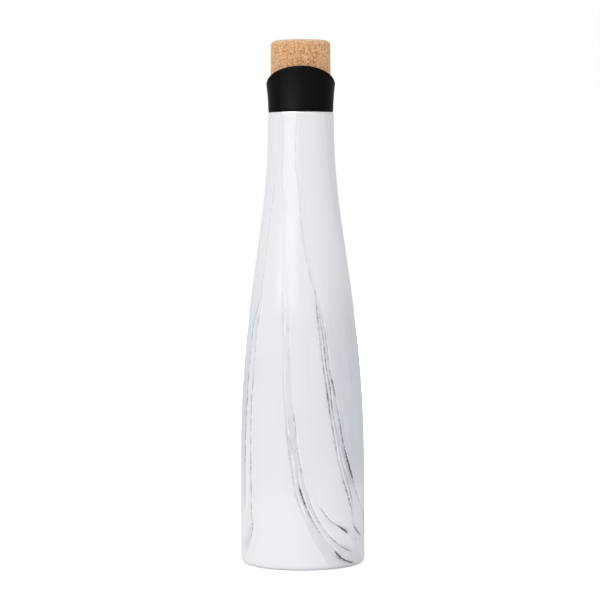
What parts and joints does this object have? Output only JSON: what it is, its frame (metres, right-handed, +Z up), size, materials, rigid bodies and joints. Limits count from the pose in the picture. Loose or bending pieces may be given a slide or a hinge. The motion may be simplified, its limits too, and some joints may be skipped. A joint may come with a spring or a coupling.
{
  "type": "insulated wine carafe",
  "caption": "Tall double-walled vacuum carafe with a marble finish, a slanted black pour collar that unscrews and a cork-headed stopper that pulls out.",
  "frame": {"origin": "centre of the foot, on the surface the carafe stands on", "axes": "+Z up along the carafe's axis; -Y towards the high side of the pour collar's slanted lip"},
  "size_m": [0.078, 0.078, 0.328],
  "materials": {
    "marble_paint": "glossy white with grey veins",
    "steel": "brushed",
    "copper_foil": "bright foil",
    "solder_glass": "fused glass bead",
    "getter_alloy": "pressed powder",
    "silicone": "translucent silicone",
    "black_plastic": "satin",
    "insert_plastic": "moulded",
    "cork": "agglomerated cork, sanded"
  },
  "bodies": {
    "vessel": {"outer_shell": "marble_paint", "outer_base": "steel", "evacuation_seal": "solder_glass", "base_cover": "steel", "liner_wall": "steel", "liner_neck": "steel", "liner_base": "steel", "foil_wrap": "copper_foil", "getter_clip": "steel", "getter_pellet": "getter_alloy"},
    "gasket": {"collar_gasket": "silicone"},
    "collar": {"pour_collar": "black_plastic", "collar_sleeve": "insert_plastic"},
    "stopper": {"cork_head": "cork", "stopper_core": "insert_plastic", "seal_ring_1": "silicone", "seal_ring_2": "silicone", "seal_ring_3": "silicone", "stopper_cap": "insert_plastic"}
  },
  "joints": [
    {"name": "collar_rise", "type": "slide", "parent": "vessel", "child": "gasket", "axis": [0, 0, 1], "range_m": [0, 0.006]},
    {"name": "collar_turn", "type": "hinge", "parent": "gasket", "child": "collar", "pos_m": [0, 0, 0.2833], "axis": [0, 0, 1], "range_deg": [0, 720]},
    {"name": "stopper_pull", "type": "slide", "parent": "collar", "child": "stopper", "axis": [0, 0, 1], "range_m": [0, 0.08]}
  ],
  "couplings": [
    {"joint": "collar_rise", "follows": "collar_turn", "m_per_rad": 0.00047746}
  ]
}
